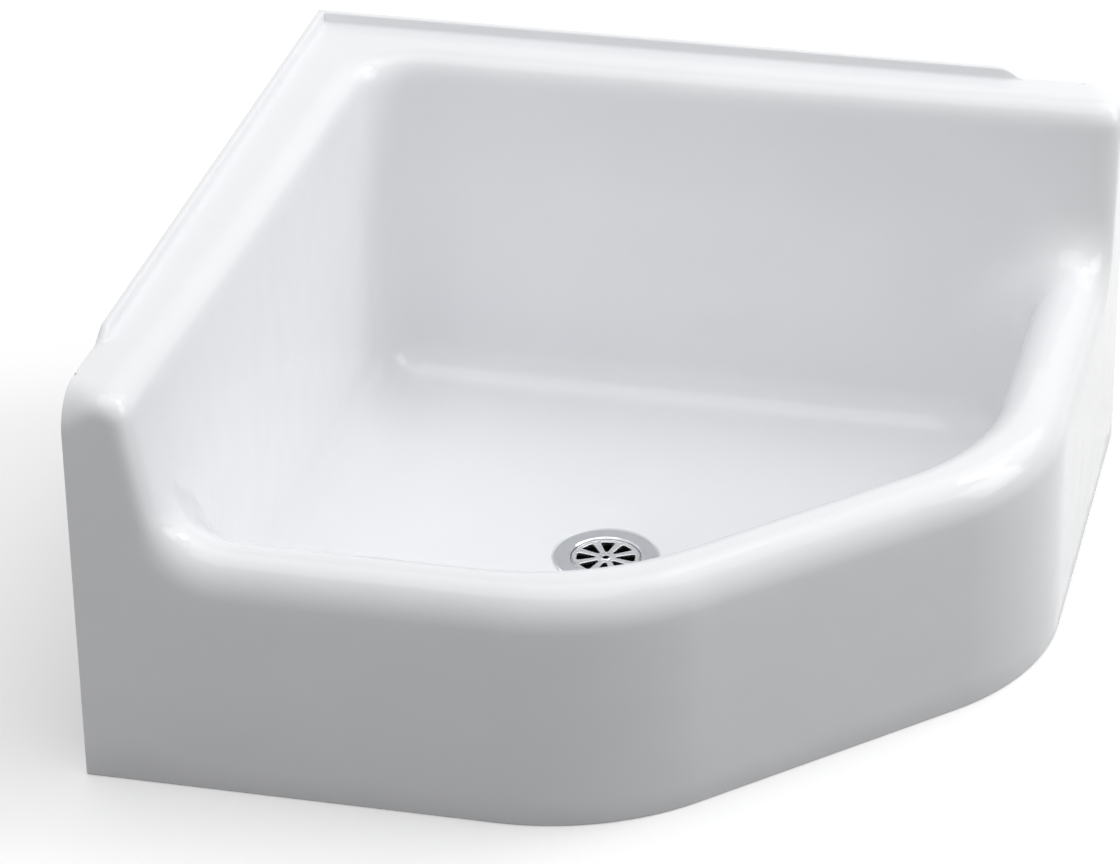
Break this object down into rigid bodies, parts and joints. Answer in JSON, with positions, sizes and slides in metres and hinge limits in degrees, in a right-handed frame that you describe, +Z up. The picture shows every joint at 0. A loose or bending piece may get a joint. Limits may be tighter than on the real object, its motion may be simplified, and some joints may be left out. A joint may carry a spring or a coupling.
{
  "type": "mop service sink",
  "caption": "Corner service sink for filling and emptying mop buckets, with high wall ledges, a low rolled front rim, a full apron and a lift-out drain grate.",
  "frame": {"origin": "on the floor, under the middle of the 28 in square that the plan is cut from", "axes": "+Z up; the left wall stands at -X and the back wall at +Y, and the user stands towards +X and -Y"},
  "size_m": [0.7112, 0.7112, 0.346],
  "materials": {
    "white_enamel": "glossy vitreous enamel on grey cast iron",
    "white_seal": "matte",
    "chrome": "polished chrome plate on brass",
    "black_rubber": "matte",
    "fibre": "matte fibre",
    "brass": "as cast and turned"
  },
  "bodies": {
    "sink": {"sink_body": "white_enamel", "flange_gasket": "white_seal", "strainer_body": "chrome", "under_gasket": "black_rubber", "friction_ring": "fibre", "lock_nut": "brass"},
    "grate": {"grate": "chrome"}
  },
  "joints": [
    {"name": "grate_lift", "type": "slide", "parent": "sink", "child": "grate", "axis": [0, 0, 1], "range_m": [0, 0.2]}
  ]
}
